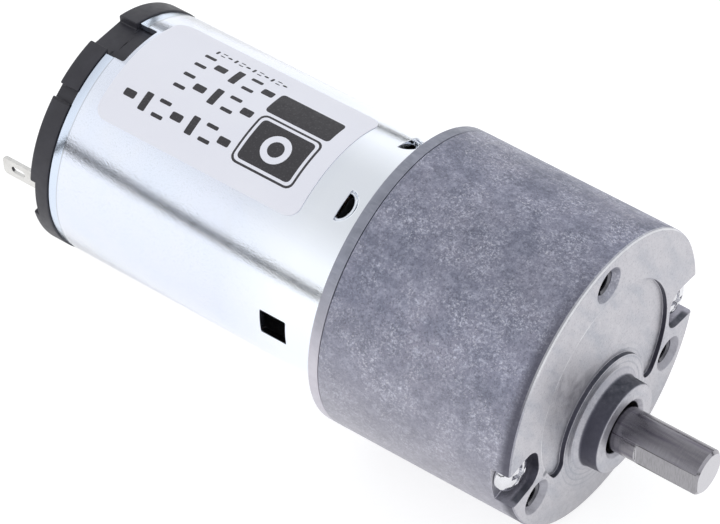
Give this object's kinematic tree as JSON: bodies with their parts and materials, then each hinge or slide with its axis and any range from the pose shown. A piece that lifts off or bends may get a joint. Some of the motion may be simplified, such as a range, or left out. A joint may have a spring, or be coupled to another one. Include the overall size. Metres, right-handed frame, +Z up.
{
  "type": "electric gear motor",
  "caption": "Round brushed motor in a steel can on an offset spur gearbox, with a D-cut output shaft and two solder blades.",
  "frame": {"origin": "centre of the gearbox's round front face, in the plane that bolts to a panel", "axes": "+X out along the output shaft; +Z up, through the upper mounting hole and away from the offset shaft"},
  "size_m": [0.0976, 0.04, 0.04],
  "materials": {
    "cast_zinc": "zinc die casting, tumbled, mottled mid grey",
    "plated_steel": "bright bluish zinc plate",
    "ground_steel": "ground and polished",
    "screw_steel": "bright nickel plate",
    "gear_steel": "sintered steel, oiled",
    "brass": "plain brass",
    "terminal_tin": "tinned brass blade",
    "sintered_bronze": "oil-filled sintered bronze",
    "copper": "bare copper",
    "enamelled_copper": "enamelled copper wire",
    "black_plastic": "matt moulded",
    "white_plastic": "moulded acetal",
    "ferrite": "sintered ferrite",
    "carbon": "pressed carbon",
    "paper": "satin coated paper"
  },
  "bodies": {
    "root": {"gearbox_housing": "cast_zinc", "gearbox_back_plate": "plated_steel", "housing_screw_left": "screw_steel", "housing_screw_right": "screw_steel", "motor_screw_upper": "screw_steel", "motor_screw_lower": "screw_steel", "output_front_bush": "sintered_bronze", "output_rear_bush": "sintered_bronze", "output_thrust_washer": "brass", "gear_pin_left": "ground_steel", "gear_pin_right": "ground_steel", "pin_spacer_left_front": "white_plastic", "pin_spacer_right_rear": "white_plastic", "pin_washer_left_rear": "brass", "pin_washer_right_front": "brass", "motor_can": "plated_steel", "end_cap": "black_plastic", "terminal_left": "terminal_tin", "terminal_right": "terminal_tin", "label": "paper", "magnet_upper": "ferrite", "magnet_lower": "ferrite", "magnet_spring_left": "gear_steel", "magnet_spring_right": "gear_steel", "brush_left": "carbon", "brush_right": "carbon", "brush_arm_left": "copper", "brush_arm_right": "copper", "front_bearing": "sintered_bronze", "rear_bearing": "sintered_bronze"},
    "output": {"output_shaft": "ground_steel", "output_gear": "gear_steel"},
    "gear_4": {"gear_4": "gear_steel"},
    "gear_3": {"gear_3": "gear_steel"},
    "gear_2": {"gear_2": "gear_steel"},
    "gear_1": {"gear_1": "white_plastic"},
    "rotor": {"armature_shaft": "ground_steel", "motor_pinion": "brass", "armature_spacer": "white_plastic", "armature_washer": "brass", "rotor_core": "gear_steel", "winding_1": "enamelled_copper", "winding_2": "enamelled_copper", "winding_3": "enamelled_copper", "commutator_sleeve": "black_plastic", "commutator_segment_1": "copper", "commutator_segment_2": "copper", "commutator_segment_3": "copper"}
  },
  "joints": [
    {"name": "output_turn", "type": "hinge", "parent": "root", "child": "output", "pos_m": [0, 0, -0.007], "axis": [1, 0, 0], "continuous": true},
    {"name": "gear_4_turn", "type": "hinge", "parent": "root", "child": "gear_4", "pos_m": [-0.011, 0.00562, 0.00261], "axis": [1, 0, 0], "continuous": true},
    {"name": "gear_3_turn", "type": "hinge", "parent": "root", "child": "gear_3", "pos_m": [-0.016, -0.00562, 0.00261], "axis": [1, 0, 0], "continuous": true},
    {"name": "gear_2_turn", "type": "hinge", "parent": "root", "child": "gear_2", "pos_m": [-0.02, 0.00562, 0.00261], "axis": [1, 0, 0], "continuous": true},
    {"name": "gear_1_turn", "type": "hinge", "parent": "root", "child": "gear_1", "pos_m": [-0.024, -0.00562, 0.00261], "axis": [1, 0, 0], "continuous": true},
    {"name": "rotor_turn", "type": "hinge", "parent": "root", "child": "rotor", "pos_m": [-0.05, 0, 0], "axis": [1, 0, 0], "continuous": true}
  ],
  "couplings": [
    {"joint": "gear_4_turn", "follows": "output_turn", "ratio": -2.7},
    {"joint": "gear_3_turn", "follows": "output_turn", "ratio": 8.3455},
    {"joint": "gear_2_turn", "follows": "output_turn", "ratio": -25.795},
    {"joint": "gear_1_turn", "follows": "output_turn", "ratio": 79.73},
    {"joint": "rotor_turn", "follows": "output_turn", "ratio": -167.43}
  ]
}
